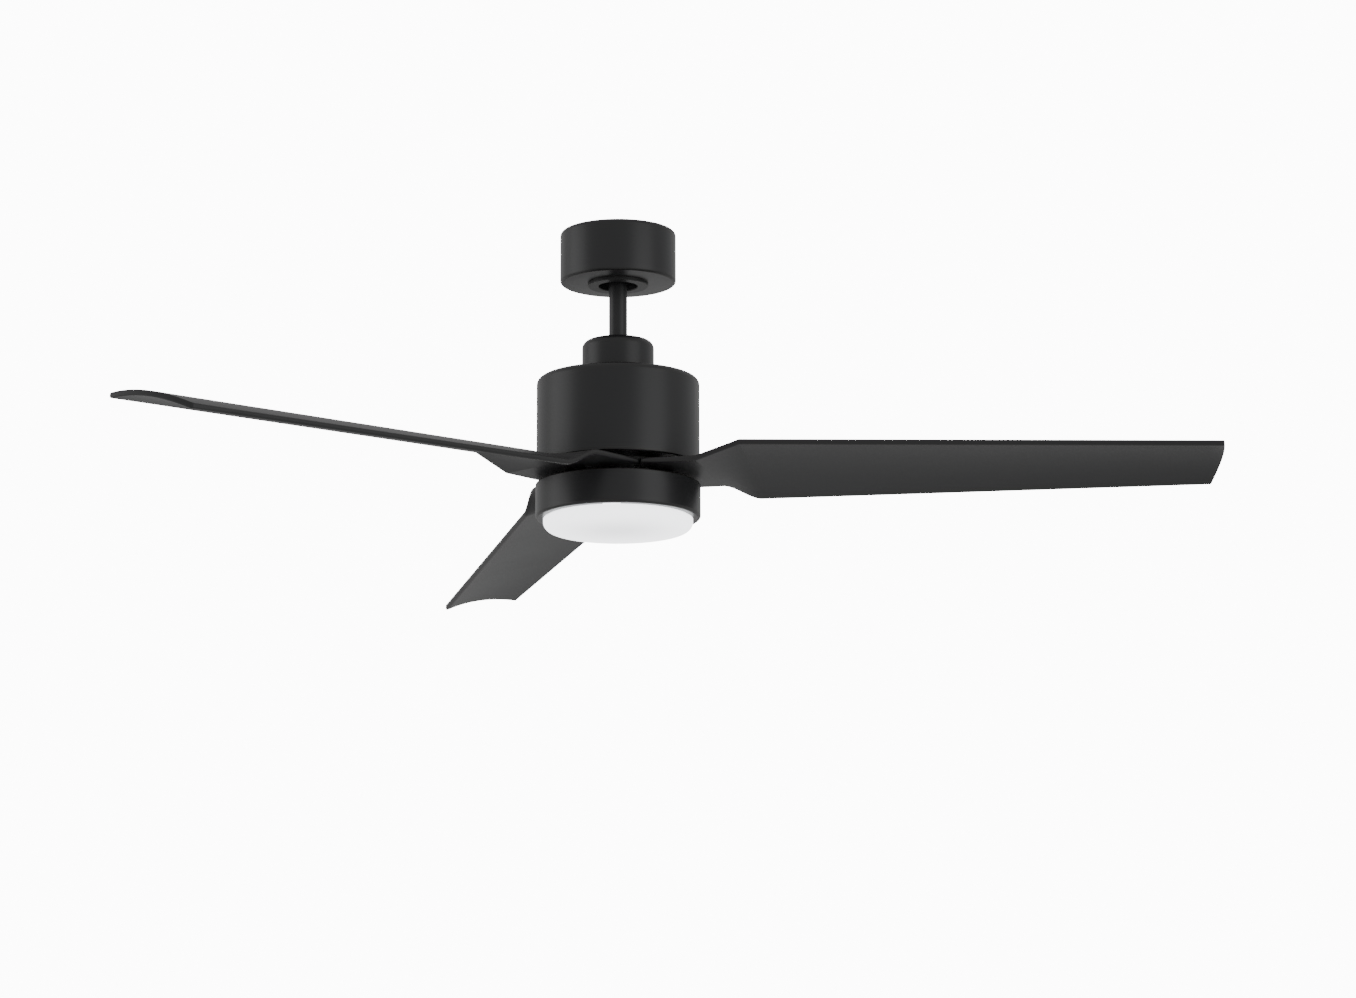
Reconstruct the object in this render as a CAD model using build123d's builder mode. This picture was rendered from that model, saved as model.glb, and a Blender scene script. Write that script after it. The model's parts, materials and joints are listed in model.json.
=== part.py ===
"""Three-blade ceiling fan with a round light, hung from a ball-and-downrod ceiling mount.

Millimetres, +Z up. The origin is on the fan's axis in the ceiling plane, at the
centre of the bracket's two slots, so the whole fan hangs below z = 0.
"""
from build123d import *
from math import atan2, cos, degrees, radians, sin, sqrt
import os

os.makedirs("parts", exist_ok=True)

# ---------------------------------------------------------------- driving sizes
# Ceiling canopy
canopy_radius = 67.5
canopy_height = 61.5
canopy_wall = 1.5
canopy_corner = 3.5
canopy_rim = 5.0
canopy_mouth = 60.0
canopy_hole = 24.8
canopy_boss_radius = 3.6

# Trim ring that hides the canopy screws
trim_radius = 35.0
trim_bore = 22.8
trim_height = 3.4
trim_wall = 1.4
trim_sleeve_rise = 3.5

# Hanger bracket and the ball it carries
strap_length = 112.0
strap_width = 34.0
strap_thickness = 3.0
slot_spacing = 89.0
slot_length = 10.0
slot_radius = 2.6
leg_spacing = 74.0
leg_thickness = 3.0
wire_hole = 8.0
wire_hole_offset = 8.5
ball_radius = 26.0
ball_centre = 36.0
ball_top_cut = 16.0
ball_bottom_cut = 18.0
seat_clearance = 0.08
seat_radius = 34.0
seat_top = 44.0
seat_bottom = 53.0
seat_slot = 24.0

# Downrod
rod_radius = 10.65
rod_wall = 1.8
rod_top = 21.0
rod_bottom = 166.0
rod_fit = 0.1
ball_pin_radius = 3.0
ball_pin_length = 42.0
ball_pin_drop = 28.0

# Coupling on top of the motor, and its cover
cover_radius = 41.8
cover_height = 45.6
cover_wall = 2.0
cover_corner = 9.5
grommet_wall = 1.9
grommet_flange = 2.4
coupling_radius = 17.0
coupling_top = 143.0
coupling_flange_radius = 36.0
coupling_flange = 5.0
clevis_pin_radius = 4.0
clevis_pin_drop = 155.0
set_screw_radius = 3.0
set_screw_drop = 148.0

# Motor housing
housing_radius = 94.5
housing_top = 176.0
housing_height = 103.5
housing_wall = 2.0
housing_corner = 7.5
housing_lip = 4.0

# Motor shaft and what is stacked on it
shaft_radius = 8.5
shaft_bore = 5.5
shaft_end = 312.0
spacer_wall = 2.6
hanger_plate_radius = 60.0
hanger_plate_thickness = 4.0
flange_screw_circle = 28.0
flange_screw_radius = 2.5

# Bearings, 17 x 35 x 10
bearing_outer = 17.5
bearing_width = 10.0
race_wall = 2.6
bearing_ball = 2.3
bearing_balls = 11
ball_clearance = 0.03
upper_bearing_top = 212.0
lower_bearing_top = 258.0

# Motor
stator_radius = 62.4
stator_bore = 14.0
stator_top = 228.0
stator_height = 24.0
stator_teeth = 12
tooth_width = 9.0
tooth_tip_depth = 3.0
tooth_tip_gap = 4.0
stator_yoke = 36.0
coil_thickness = 4.2
coil_overhang = 5.0
air_gap = 0.7
magnet_thickness = 3.4
magnet_count = 14
magnet_gap = 1.5
rotor_ring_wall = 3.5
rotor_ring_height = 36.0
shell_wall = 4.0
shell_flange = 6.5
shell_flange_thickness = 3.0
shell_screws = 6
shell_screw_radius = 2.0
bearing_lip = 4.5

# Blade hub, bolted under the rotor
hub_radius = 70.0
hub_thickness = 5.4
hub_bore = 19.0
hub_spacer_inner = 38.0
hub_spacer_outer = 52.0
hub_screw_circle = 45.0
hub_screw_count = 4

# Blades
blade_azimuths = (-13.1, 106.9, 226.9)
tip_radius = 711.0
blade_thickness = 6.5
blade_plate_drop = 287.0
leading_offset = 77.0
trailing_offset = 73.0
root_end = 108.0
twist_end = 158.0
twist_rise = 17.0
twist_fall = 18.9
root_camber = 5.0
tip_camber = 7.0
leading_droop = 29.2
trailing_droop = 17.6
tip_trailing_offset = 24.5
tip_sweep = 27.0
tip_bow = 6.0
tip_lead_corner = 4.0
tip_trail_corner = 6.0
tip_edge_round = 1.4
blade_bore = 26.0
seam_gap = 1.2
blade_screw_places = ((61.0, 0.0), (50.0, 27.0), (50.0, -27.0))
blade_screw_radius = 2.5
washer_radius = 6.0
washer_thickness = 1.0

# Driver board under the hanger plate
board_radius = 78.0
board_bore = 22.0
board_thickness = 1.6
board_standoff = 12.0
board_standoff_circle = 50.0
board_standoff_count = 4
standoff_radius = 3.2
capacitor_places = ((62.0, 10.0), (62.0, -10.0))
capacitor_radius = 6.0
capacitor_height = 8.0
transistor_places = ((-32.0, 38.0), (-8.0, 38.0), (32.0, 38.0))
transistor_size = (10.0, 9.0, 4.5)
choke_place = (-64.0, 0.0)
choke_size = (12.0, 26.0, 7.5)
plug_place = (0.0, -62.0)
plug_size = (34.0, 9.0, 7.0)
chip_place = (30.0, -34.0)
chip_size = (12.0, 12.0, 1.6)

# Light kit
light_radius = 95.5
light_top = 301.0
light_height = 40.0
light_wall = 2.2
light_corner = 3.5
light_top_corner = 1.5
light_lip = 2.5
light_opening = 84.8
light_plate_radius = 44.0
light_plate_thickness = 3.0
light_screw_circle = 34.0
light_screw_count = 3
nut_across_flats = 26.0
nut_height = 7.0
diffuser_radius = 86.5
diffuser_depth = 14.0
diffuser_neck = 83.8
diffuser_wall = 2.2
diffuser_corner = 10.0
diffuser_gap = 1.0
lug_reach = 4.6
lug_height = 2.8
lug_angle = 10.0
lug_clearance = 0.4
lugs = 3
twist_lock_angle = 25.0
led_board_radius = 74.0
led_board_thickness = 1.6
led_standoff = 22.0
led_standoff_circle = 66.0
led_size = 3.0
led_height = 0.8
led_rings = ((18.0, 6), (36.0, 12), (54.0, 18))
led_driver_size = (76.0, 36.0, 17.0)
led_driver_offset = 48.0

# Terminal block and earth screw on the strap
terminal_size = (34.0, 15.0, 10.0)
terminal_offset = 11.0
terminal_poles = 3
terminal_pitch = 10.0
terminal_wire_hole = 2.0
terminal_screw_radius = 2.0
earth_screw_place = (27.0, -10.0)

# Small fasteners
canopy_screw_circle = 29.0
canopy_screw_radius = 2.0
canopy_screw_length = 14.0
light_screw_length = light_wall + light_plate_thickness - 0.2
light_screw_head = 4.6
light_screw_head_height = 2.4
hub_screw_head = 4.3
hub_screw_head_height = 3.0
truss_head_radius = 3.6
truss_head_height = 1.7
thread_play = 0.15

# ---------------------------------------------------------------- worked-out sizes
tip_front = sqrt(tip_radius**2 - leading_offset**2)
tip_station = tip_front
canopy_inside = canopy_radius - canopy_wall
rod_inside = rod_radius - rod_wall
cover_top = housing_top - cover_height
housing_bottom = housing_top + housing_height
hanger_plate_top = housing_top + housing_wall
hanger_plate_bottom = hanger_plate_top + hanger_plate_thickness
coupling_floor = rod_bottom + 1.0
upper_bearing_bottom = upper_bearing_top + bearing_width
lower_bearing_bottom = lower_bearing_top + bearing_width
stator_bottom = stator_top + stator_height
stator_middle = stator_top + stator_height / 2
magnet_inner = stator_radius + air_gap
magnet_outer = magnet_inner + magnet_thickness
ring_outer = magnet_outer + rotor_ring_wall
shell_outer = ring_outer + shell_wall
shell_top = upper_bearing_top - shell_wall
shell_bottom = lower_bearing_bottom + shell_wall
shell_screw_circle = shell_outer + shell_flange / 2
hub_bottom = blade_plate_drop
hub_top = hub_bottom - hub_thickness
spacer_radius = shaft_radius + spacer_wall
blade_plate_middle = blade_plate_drop + blade_thickness / 2
blade_plate_bottom = blade_plate_drop + blade_thickness
light_bottom = light_top + light_height
light_plate_top = light_top - light_plate_thickness
board_top = hanger_plate_bottom + board_standoff
led_board_top = light_top + light_wall + led_standoff
standard_clearance = 0.3


UPWARD = (Align.CENTER, Align.CENTER, Align.MIN)
DOWNWARD = (Align.CENTER, Align.CENTER, Align.MAX)


def tube(outer, inner, top, bottom):
    """Add a round tube between two drops below the ceiling to the part that is open."""
    with BuildSketch(Plane.XY.offset(-bottom)) as wall:
        Circle(outer)
        if inner > 0:
            Circle(inner, mode=Mode.SUBTRACT)
    extrude(wall.sketch, amount=bottom - top)


def round_holes(places, radius, top, bottom):
    """Drill round holes between two drops below the ceiling in the part that is open."""
    with Locations(*[(x, y, -bottom) for x, y in places]):
        Cylinder(radius, bottom - top, align=UPWARD, mode=Mode.SUBTRACT)


def circle_places(radius, count, start=0.0):
    """Centres of a round pattern, from the angle `start` in degrees."""
    step = 360 / count
    angles = [radians(start + step * number) for number in range(count)]
    return [(radius * cos(angle), radius * sin(angle)) for angle in angles]


def screws(places, seat, length, shank, head_radius, head_height, upward=True):
    """Add screws with a cross recess: the head bears on the level `seat`, the shank leaves it."""
    shank_side, head_side = (UPWARD, DOWNWARD) if upward else (DOWNWARD, UPWARD)
    face = -seat - head_height if upward else -seat + head_height
    recess_width = head_radius * 0.28
    with Locations(*[(x, y, -seat) for x, y in places]):
        Cylinder(shank, length, align=shank_side)
        Cylinder(head_radius, head_height, align=head_side)
    with Locations(*[(x, y, face) for x, y in places]):
        Box(head_radius * 1.2, recess_width, head_height, mode=Mode.SUBTRACT)
        Box(recess_width, head_radius * 1.2, head_height, mode=Mode.SUBTRACT)


def save(part, label):
    """Name a finished piece and write it as its own STEP file."""
    part.label = label
    export_step(part, f"parts/{label}.step")


# ================================================================ ceiling mount
canopy_screw_places = circle_places(canopy_screw_circle, 2)

with BuildPart() as hanger_bracket:
    with BuildSketch(Plane.XY.offset(-strap_thickness)):
        RectangleRounded(strap_length, strap_width, 6)
    extrude(amount=strap_thickness)
    with BuildSketch(Plane.XY.offset(-seat_bottom)):
        with GridLocations(leg_spacing, 0, 2, 1):
            Rectangle(leg_thickness, strap_width)
    extrude(amount=seat_bottom)
    with BuildSketch(Plane.XY.offset(-seat_bottom)):
        Rectangle(leg_spacing, strap_width)
    extrude(amount=leg_thickness)
    with BuildSketch(Plane.XY.offset(-seat_bottom)):
        Circle(seat_radius)
    extrude(amount=seat_bottom - seat_top)
    with Locations((0, 0, -ball_centre)):
        Sphere(ball_radius + seat_clearance, mode=Mode.SUBTRACT)
    with BuildSketch(Plane.XY.offset(-seat_bottom)):
        with Locations((0, seat_radius)):
            Rectangle(seat_slot, 2 * seat_radius)
    extrude(amount=seat_bottom - ball_centre, mode=Mode.SUBTRACT)
    round_holes(canopy_screw_places, canopy_screw_radius + thread_play, seat_top + 1.5, seat_bottom)
    with BuildSketch(Plane.XY.offset(-strap_thickness)):
        with GridLocations(slot_spacing, 0, 2, 1):
            SlotOverall(slot_length, 2 * slot_radius)
        with Locations((0, -wire_hole_offset)):
            Circle(wire_hole)
        with Locations(earth_screw_place):
            Circle(terminal_screw_radius + thread_play)
    extrude(amount=strap_thickness, mode=Mode.SUBTRACT)
save(hanger_bracket.part, "hanger_bracket")

terminal_places = [
    ((pole - (terminal_poles - 1) / 2) * terminal_pitch, terminal_offset + side * terminal_size[1] / 4)
    for pole in range(terminal_poles)
    for side in (-1, 1)
]
terminal_middle = strap_thickness + terminal_size[2] / 2
terminal_bottom = strap_thickness + terminal_size[2]

with BuildPart() as terminal_block:
    with Locations((0, terminal_offset, -strap_thickness)):
        Box(*terminal_size, align=DOWNWARD)
    fillet(terminal_block.edges().filter_by(Axis.Z), 1.2)
    with Locations((0, terminal_offset, -terminal_middle)):
        with GridLocations(terminal_pitch, 0, terminal_poles, 1):
            Cylinder(terminal_wire_hole, terminal_size[1], rotation=(90, 0, 0), mode=Mode.SUBTRACT)
    round_holes(terminal_places, terminal_screw_radius + thread_play, terminal_middle, terminal_bottom)
save(terminal_block.part, "terminal_block")

with BuildPart() as terminal_screws:
    for x, y in terminal_places:
        with Locations((x, y, -terminal_middle - terminal_wire_hole)):
            Cylinder(terminal_screw_radius, terminal_size[2] / 2 - terminal_wire_hole - 0.5, align=DOWNWARD)
        with Locations((x, y, -terminal_bottom + 0.5)):
            Box(2.8, 0.7, 1.4, mode=Mode.SUBTRACT)
save(terminal_screws.part, "terminal_screws")

with BuildPart() as earth_screw:
    screws([earth_screw_place], strap_thickness, strap_thickness - 0.2, terminal_screw_radius, 4.0, 2.2)
save(earth_screw.part, "earth_screw")

with BuildPart() as canopy_room:
    tube(canopy_inside, 0, canopy_wall, canopy_height - canopy_wall)
    rings = canopy_room.edges().filter_by(GeomType.CIRCLE).sort_by(Axis.Z)
    fillet(rings[0], canopy_corner - canopy_wall)
    rings = canopy_room.edges().filter_by(GeomType.CIRCLE).sort_by(Axis.Z)
    fillet(rings[-1], canopy_rim - canopy_wall)

with BuildPart() as canopy:
    tube(canopy_radius, 0, 0, canopy_height)
    fillet(canopy.edges().filter_by(GeomType.CIRCLE).sort_by(Axis.Z)[0], canopy_corner)
    fillet(canopy.edges().filter_by(GeomType.CIRCLE).sort_by(Axis.Z)[-1], canopy_rim)
    add(canopy_room.part, mode=Mode.SUBTRACT)
    round_holes([(0, 0)], canopy_mouth, 0, canopy_wall)
    with Locations(*[(x, y, -canopy_height + canopy_wall) for x, y in canopy_screw_places]):
        Cylinder(canopy_boss_radius, canopy_height - canopy_wall - seat_bottom, align=UPWARD)
    round_holes([(0, 0)], canopy_hole, canopy_height - canopy_wall, canopy_height)
    round_holes(canopy_screw_places, canopy_screw_radius + thread_play, seat_bottom, canopy_height)
save(canopy.part, "canopy")

with BuildPart() as canopy_screws:
    screws(canopy_screw_places, canopy_height, canopy_screw_length, canopy_screw_radius,
           truss_head_radius, truss_head_height)
save(canopy_screws.part, "canopy_screws")

trim_bottom = canopy_height + trim_height
trim_floor = trim_bottom - trim_wall
trim_sleeve = trim_bore + trim_wall
with BuildPart() as canopy_trim_ring:
    tube(trim_radius, trim_bore, trim_floor, trim_bottom)
    tube(trim_radius, trim_radius - trim_wall, canopy_height, trim_floor)
    tube(trim_sleeve, trim_bore, canopy_height - trim_sleeve_rise, trim_floor)
    bead_top = canopy_height - canopy_wall - 1.4
    tube(trim_sleeve + 1.0, trim_bore, bead_top, bead_top + 1.2)
    lowest = canopy_trim_ring.edges().filter_by(GeomType.CIRCLE).group_by(Axis.Z)[0]
    fillet(lowest, trim_wall * 0.6)
save(canopy_trim_ring.part, "canopy_trim_ring")

# ================================================================ ball and downrod
with BuildPart() as hanger_ball:
    with Locations((0, 0, -ball_centre)):
        Sphere(ball_radius)
    split(bisect_by=Plane.XY.offset(-ball_centre + ball_top_cut), keep=Keep.BOTTOM)
    split(bisect_by=Plane.XY.offset(-ball_centre - ball_bottom_cut), keep=Keep.TOP)
    round_holes([(0, 0)], rod_radius + rod_fit, 0, 2 * ball_centre)
    with Locations((0, 0, -ball_pin_drop)):
        Cylinder(ball_pin_radius + rod_fit, 3 * ball_radius, rotation=(0, 90, 0), mode=Mode.SUBTRACT)
    with Locations((0, ball_radius, -ball_centre)):
        Cylinder(set_screw_radius + rod_fit, 2 * ball_radius, rotation=(90, 0, 0), mode=Mode.SUBTRACT)
save(hanger_ball.part, "hanger_ball")

with BuildPart() as ball_pin:
    with Locations((0, 0, -ball_pin_drop)):
        Cylinder(ball_pin_radius, ball_pin_length, rotation=(0, 90, 0))
    chamfer(ball_pin.edges().filter_by(GeomType.CIRCLE), 0.6)
save(ball_pin.part, "ball_pin")

with BuildPart() as ball_set_screw:
    with Locations((0, rod_radius, -ball_centre)):
        Cylinder(set_screw_radius, 10.0, rotation=(-90, 0, 0), align=UPWARD)
    with Locations((0, rod_radius + 10.0, -ball_centre)):
        Box(4.2, 3.0, 1.0, mode=Mode.SUBTRACT)
save(ball_set_screw.part, "ball_set_screw")

with BuildPart() as downrod:
    tube(rod_radius, rod_inside, rod_top, rod_bottom)
    with Locations((0, 0, -ball_pin_drop)):
        Cylinder(ball_pin_radius + rod_fit, 3 * rod_radius, rotation=(0, 90, 0), mode=Mode.SUBTRACT)
    with Locations((0, 0, -clevis_pin_drop)):
        Cylinder(clevis_pin_radius + rod_fit, 3 * rod_radius, rotation=(90, 0, 0), mode=Mode.SUBTRACT)
save(downrod.part, "downrod")

# ================================================================ coupling and its cover
flange_top = housing_top - coupling_flange
flange_screw_places = circle_places(flange_screw_circle, 4, 45.0)
pin_head = 2.5
pin_tail = 4.0
clip_wire = 0.9
clip_place = coupling_radius + pin_tail / 2
clip_ring = 4.0

with BuildPart() as coupling:
    tube(coupling_radius, 0, coupling_top, flange_top)
    tube(coupling_flange_radius, 0, flange_top, housing_top)
    fillet(coupling.edges().filter_by(GeomType.CIRCLE).group_by(Axis.Z)[-1], 1.0)
    round_holes([(0, 0)], rod_radius + rod_fit, coupling_top, coupling_floor)
    round_holes([(0, 0)], shaft_radius + rod_fit, coupling_floor, housing_top)
    round_holes(flange_screw_places, flange_screw_radius + thread_play, flange_top, housing_top)
    with Locations((0, 0, -clevis_pin_drop)):
        Cylinder(clevis_pin_radius + rod_fit, 3 * coupling_radius, rotation=(90, 0, 0), mode=Mode.SUBTRACT)
    with Locations((0, 0, -set_screw_drop)):
        Cylinder(set_screw_radius + rod_fit, 3 * coupling_radius, rotation=(0, 90, 0), mode=Mode.SUBTRACT)
save(coupling.part, "coupling")

with BuildPart() as clevis_pin:
    with Locations((0, -coupling_radius, -clevis_pin_drop)):
        Cylinder(clevis_pin_radius, 2 * coupling_radius + pin_tail, rotation=(-90, 0, 0), align=UPWARD)
        Cylinder(clevis_pin_radius * 1.5, pin_head, rotation=(-90, 0, 0), align=DOWNWARD)
    with Locations((0, clip_place, -clevis_pin_drop)):
        Cylinder(clip_wire + rod_fit, 3 * clevis_pin_radius, mode=Mode.SUBTRACT)
save(clevis_pin.part, "clevis_pin")

with BuildPart() as cotter_clip:
    leg = 2 * clevis_pin_radius + 4.0
    with Locations((0, clip_place, -clevis_pin_drop)):
        Cylinder(clip_wire, leg)
    with Locations((0, clip_place, -clevis_pin_drop + leg / 2 + clip_ring)):
        Torus(clip_ring, clip_wire, rotation=(90, 0, 0))
save(cotter_clip.part, "cotter_clip")

with BuildPart() as coupling_set_screws:
    for side in (-1, 1):
        with Locations((side * rod_radius, 0, -set_screw_drop)):
            Cylinder(set_screw_radius, 12.0, rotation=(0, side * 90, 0), align=UPWARD)
        with Locations((side * (rod_radius + 12.0), 0, -set_screw_drop)):
            Box(2.4, 1.0, 4.0, mode=Mode.SUBTRACT)
save(coupling_set_screws.part, "coupling_set_screws")

with BuildPart() as coupling_lock_nuts:
    for side in (-1, 1):
        nut_face = Plane(origin=(side * coupling_radius, 0, -set_screw_drop), z_dir=(side, 0, 0))
        with BuildSketch(nut_face):
            RegularPolygon(set_screw_radius * 1.8, 6)
            Circle(set_screw_radius + rod_fit, mode=Mode.SUBTRACT)
        extrude(amount=4.0)
save(coupling_lock_nuts.part, "coupling_lock_nuts")

cover_hole = rod_radius + grommet_wall
with BuildPart() as coupling_cover:
    tube(cover_radius, 0, cover_top, housing_top)
    fillet(coupling_cover.edges().filter_by(GeomType.CIRCLE).sort_by(Axis.Z)[-1], cover_corner)
    offset(amount=-cover_wall, openings=coupling_cover.faces().sort_by(Axis.Z)[0])
    round_holes([(0, 0)], cover_hole, cover_top - 1, cover_top + cover_wall + 1)
save(coupling_cover.part, "coupling_cover")

with BuildPart() as cover_grommet:
    tube(cover_hole, rod_radius, cover_top, cover_top + cover_wall)
    tube(cover_hole + grommet_flange, rod_radius, cover_top + cover_wall, cover_top + 2 * cover_wall)
save(cover_grommet.part, "cover_grommet")

# ================================================================ motor housing and shaft
with BuildPart() as motor_housing:
    tube(housing_radius, 0, housing_top, housing_bottom)
    fillet(motor_housing.edges().filter_by(GeomType.CIRCLE).sort_by(Axis.Z)[-1], housing_corner)
    offset(amount=-housing_wall, openings=motor_housing.faces().sort_by(Axis.Z)[0])
    tube(housing_radius, housing_radius - housing_lip, housing_bottom - housing_wall, housing_bottom)
    round_holes([(0, 0)], shaft_radius + standard_clearance, housing_top, hanger_plate_top)
    round_holes(flange_screw_places, flange_screw_radius + thread_play, housing_top, hanger_plate_top)
    rim = motor_housing.edges().filter_by(GeomType.CIRCLE).group_by(Axis.Z)[0].sort_by(SortBy.LENGTH)[-1]
    fillet(rim, 0.8)
save(motor_housing.part, "motor_housing")

with BuildPart() as flange_screws:
    screws(flange_screw_places, flange_top, 14.0, flange_screw_radius, 4.6, 3.2, upward=False)
save(flange_screws.part, "flange_screws")

with BuildPart() as hanger_plate:
    tube(hanger_plate_radius, shaft_radius, hanger_plate_top, hanger_plate_bottom)
    round_holes(flange_screw_places, flange_screw_radius, hanger_plate_top, hanger_plate_bottom)
save(hanger_plate.part, "hanger_plate")

with BuildPart() as main_shaft:
    tube(shaft_radius, shaft_bore, coupling_floor, shaft_end)
    chamfer(main_shaft.edges().filter_by(GeomType.CIRCLE).group_by(Axis.Z)[0].sort_by(SortBy.LENGTH)[-1], 1.0)
save(main_shaft.part, "main_shaft")

with BuildPart() as upper_spacer:
    tube(spacer_radius, shaft_radius, hanger_plate_bottom, upper_bearing_top)
save(upper_spacer.part, "upper_spacer")

with BuildPart() as lower_spacer:
    tube(spacer_radius, shaft_radius, lower_bearing_bottom, light_plate_top)
save(lower_spacer.part, "lower_spacer")

# ================================================================ bearings
race_middle = (shaft_radius + bearing_outer) / 2
groove = bearing_ball + ball_clearance

for place, top in (("upper", upper_bearing_top), ("lower", lower_bearing_top)):
    middle = top + bearing_width / 2
    with BuildPart() as inner_race:
        tube(shaft_radius + race_wall, shaft_radius, top, top + bearing_width)
        with Locations((0, 0, -middle)):
            Torus(race_middle, groove, mode=Mode.SUBTRACT)
    save(inner_race.part, f"{place}_bearing_inner_race")

    with BuildPart() as outer_race:
        tube(bearing_outer, bearing_outer - race_wall, top, top + bearing_width)
        with Locations((0, 0, -middle)):
            Torus(race_middle, groove, mode=Mode.SUBTRACT)
    save(outer_race.part, f"{place}_bearing_outer_race")

    with BuildPart() as balls:
        with Locations((0, 0, -middle)):
            with PolarLocations(race_middle, bearing_balls):
                Sphere(bearing_ball)
    save(balls.part, f"{place}_bearing_balls")

# ================================================================ stator
with BuildPart() as stator_hub:
    tube(stator_bore, shaft_radius, upper_bearing_bottom + 1.5, lower_bearing_top - 1.5)
    tube(shaft_radius + race_wall, shaft_radius, upper_bearing_bottom, lower_bearing_top)
save(stator_hub.part, "stator_hub")

tooth_end = stator_radius - tooth_tip_depth / 2
with BuildPart() as stator_core:
    with BuildSketch(Plane.XY.offset(-stator_bottom)):
        Circle(stator_radius)
        Circle(stator_radius - tooth_tip_depth, mode=Mode.SUBTRACT)
        with PolarLocations(stator_radius, stator_teeth, start_angle=180 / stator_teeth):
            Rectangle(4 * tooth_tip_depth, tooth_tip_gap, mode=Mode.SUBTRACT)
        Circle(stator_yoke)
        with PolarLocations((stator_yoke + tooth_end) / 2, stator_teeth):
            Rectangle(tooth_end - stator_yoke + 2.0, tooth_width)
        Circle(stator_bore, mode=Mode.SUBTRACT)
    extrude(amount=stator_height)
save(stator_core.part, "stator_core")

coil_start = stator_yoke + 2.0
coil_end = stator_radius - tooth_tip_depth - 2.0
coil_middle = (coil_start + coil_end) / 2
with BuildPart() as coil:
    with Locations((coil_middle, 0, -stator_middle)):
        Box(coil_end - coil_start, tooth_width + 2 * coil_thickness, stator_height + 2 * coil_overhang)
    fillet(coil.edges().filter_by(Axis.X), coil_thickness * 0.6)
    with Locations((coil_middle, 0, -stator_middle)):
        Box(coil_end, tooth_width + 0.2, stator_height + 0.2, mode=Mode.SUBTRACT)

with BuildPart() as stator_coils:
    with PolarLocations(0, stator_teeth):
        add(coil.part)
save(stator_coils.part, "stator_coils")

# ================================================================ driver board
standoff_places = circle_places(board_standoff_circle, board_standoff_count)
board_bottom = board_top + board_thickness
snap_pin = standoff_radius / 2

with BuildPart() as driver_board:
    tube(board_radius, board_bore, board_top, board_bottom)
    round_holes(standoff_places, snap_pin + thread_play, board_top, board_bottom)
save(driver_board.part, "driver_board")

with BuildPart() as board_standoffs:
    with Locations(*[(x, y, -hanger_plate_bottom) for x, y in standoff_places]):
        Cylinder(standoff_radius, board_standoff, align=DOWNWARD)
    with Locations(*[(x, y, -board_top) for x, y in standoff_places]):
        Cylinder(snap_pin, board_thickness + 0.2, align=DOWNWARD)
    with Locations(*[(x, y, -board_bottom - 0.1) for x, y in standoff_places]):
        Cone(snap_pin * 0.7, snap_pin * 1.5, 2.0, align=DOWNWARD)
save(board_standoffs.part, "board_standoffs")

with BuildPart() as board_components:
    with Locations(*[(x, y, -board_bottom) for x, y in capacitor_places]):
        Cylinder(capacitor_radius, capacitor_height, align=DOWNWARD)
    with Locations(*[(x, y, -board_bottom) for x, y in transistor_places]):
        Box(*transistor_size, align=DOWNWARD)
    for (x, y), size in ((choke_place, choke_size), (plug_place, plug_size), (chip_place, chip_size)):
        with Locations((x, y, -board_bottom)):
            Box(*size, align=DOWNWARD)
save(board_components.part, "board_components")

# ================================================================ rotor
split_drop = (shell_top + shell_bottom) / 2
shell_screw_places = circle_places(shell_screw_circle, shell_screws)
seat_outer = bearing_outer + shell_wall
hub_screw_places = circle_places(hub_screw_circle, hub_screw_count, 45.0)

with BuildPart() as rotor_top_shell:
    tube(shell_outer, bearing_outer - bearing_lip, shell_top, upper_bearing_top)
    tube(shell_outer, ring_outer, upper_bearing_top, split_drop)
    tube(shell_outer + shell_flange, ring_outer, split_drop - shell_flange_thickness, split_drop)
    tube(seat_outer, bearing_outer, upper_bearing_top, upper_bearing_bottom)
    round_holes(shell_screw_places, shell_screw_radius, split_drop - shell_flange_thickness, split_drop)
    fillet(rotor_top_shell.edges().filter_by(GeomType.CIRCLE).group_by(Axis.Z)[-1].sort_by(
        SortBy.LENGTH)[-1], 3.0)
save(rotor_top_shell.part, "rotor_top_shell")

with BuildPart() as rotor_bottom_shell:
    tube(shell_outer, bearing_outer - bearing_lip, lower_bearing_bottom, shell_bottom)
    tube(shell_outer, ring_outer, split_drop, lower_bearing_bottom)
    tube(shell_outer + shell_flange, ring_outer, split_drop, split_drop + shell_flange_thickness)
    tube(seat_outer, bearing_outer, lower_bearing_top, lower_bearing_bottom)
    round_holes(shell_screw_places, shell_screw_radius, split_drop, split_drop + shell_flange_thickness)
    round_holes(hub_screw_places, blade_screw_radius, lower_bearing_bottom, shell_bottom)
    fillet(rotor_bottom_shell.edges().filter_by(GeomType.CIRCLE).group_by(Axis.Z)[0].sort_by(
        SortBy.LENGTH)[-1], 3.0)
save(rotor_bottom_shell.part, "rotor_bottom_shell")

with BuildPart() as rotor_screws:
    screws(shell_screw_places, split_drop + shell_flange_thickness, 2 * shell_flange_thickness - 0.5,
           shell_screw_radius, shell_flange / 2 - 0.2, 2.2)
save(rotor_screws.part, "rotor_screws")

with BuildPart() as rotor_ring:
    ring_top = split_drop - rotor_ring_height / 2
    tube(ring_outer, magnet_outer, ring_top, ring_top + rotor_ring_height)
save(rotor_ring.part, "rotor_back_iron_ring")

magnet_height = stator_height + 4.0
with BuildPart() as magnets:
    with BuildSketch(Plane.XY.offset(-split_drop - magnet_height / 2)):
        Circle(magnet_outer)
        Circle(magnet_inner, mode=Mode.SUBTRACT)
        with PolarLocations(magnet_inner, magnet_count):
            Rectangle(4 * magnet_thickness, magnet_gap, mode=Mode.SUBTRACT)
    extrude(amount=magnet_height)
save(magnets.part, "magnets")

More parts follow.
